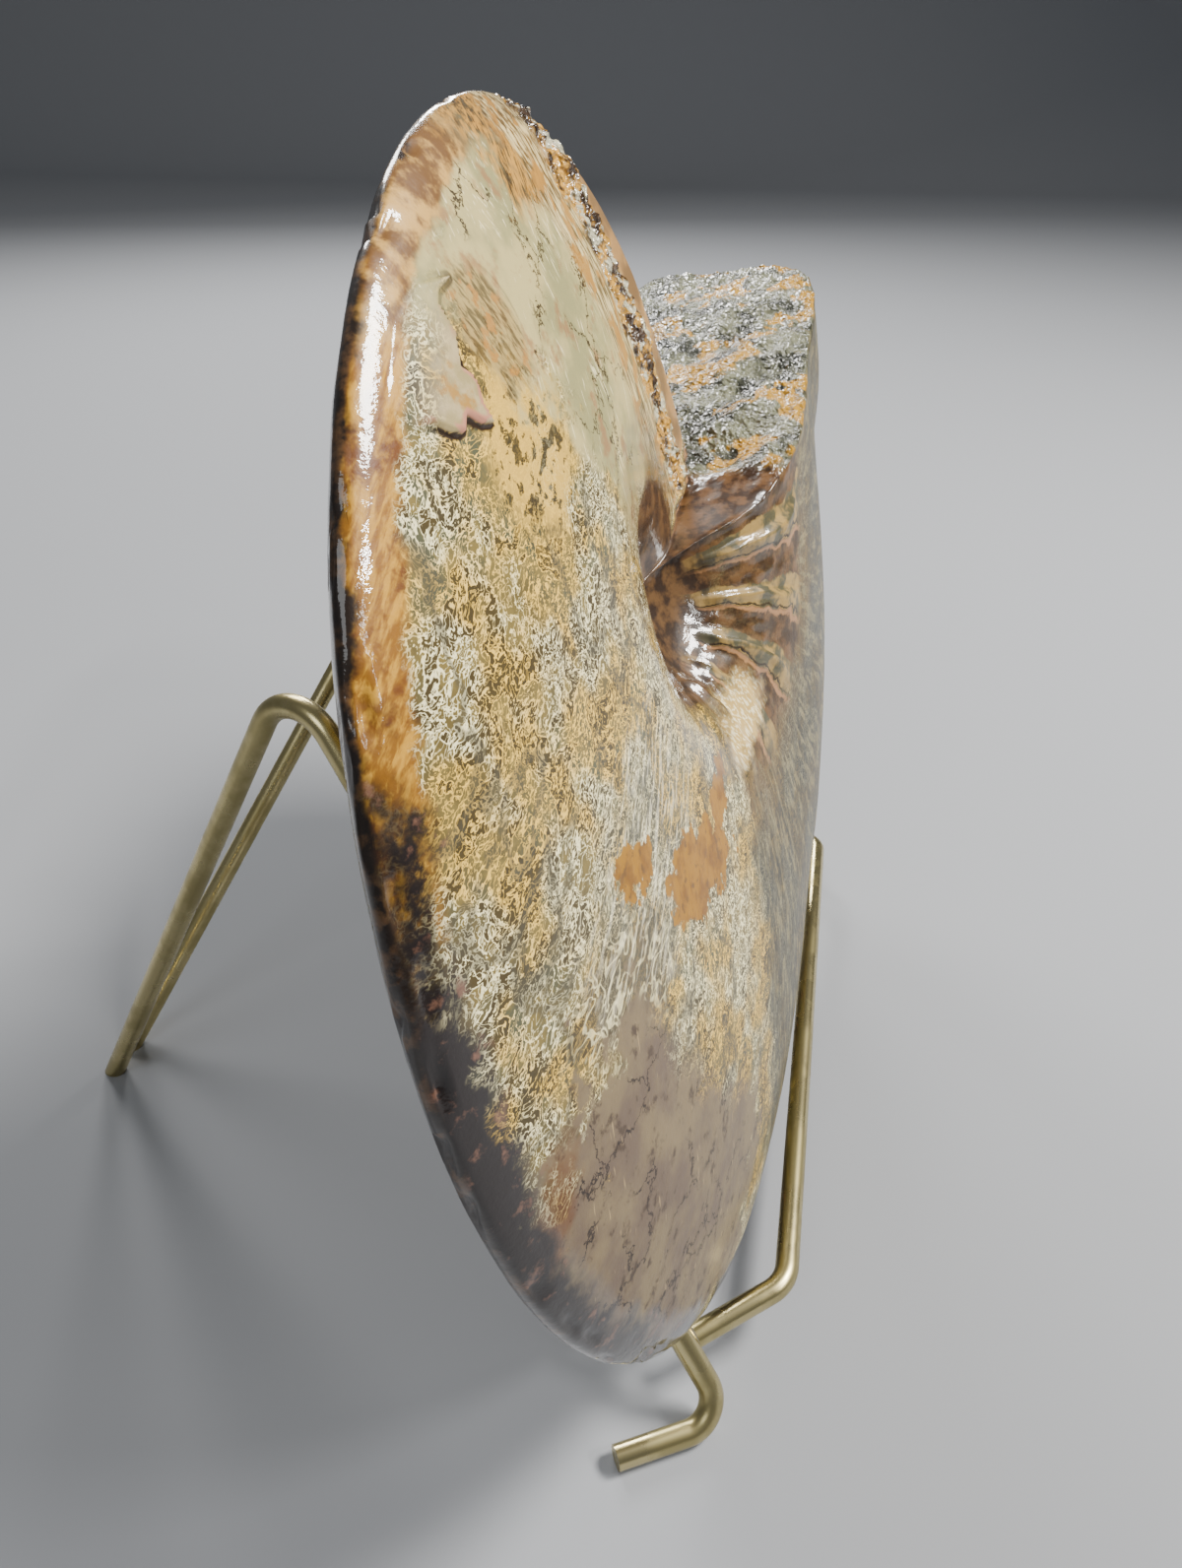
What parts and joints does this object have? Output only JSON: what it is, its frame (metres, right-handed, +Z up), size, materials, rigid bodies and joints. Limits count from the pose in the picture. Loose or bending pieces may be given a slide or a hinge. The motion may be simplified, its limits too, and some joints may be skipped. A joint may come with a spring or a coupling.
{
  "type": "ammolite specimen",
  "caption": "Polished ammonite with iridescent shell layers, leaning on a bent brass wire display stand.",
  "frame": {"origin": "bottom centre of the whole object's box", "axes": "+X along the stand's front rail to the broken end of the shell, -Y out of the shell's front face, +Z up"},
  "size_m": [0.2842, 0.1782, 0.2189],
  "materials": {
    "fossil_shell": "fossil shell and stone, polished under a clear glossy coat",
    "brass_wire": "drawn brass rod, polished and lightly tarnished"
  },
  "bodies": {
    "root": {"ammonite": "fossil_shell", "near_side_frame": "brass_wire", "far_side_frame": "brass_wire", "front_rail": "brass_wire"}
  },
  "joints": []
}
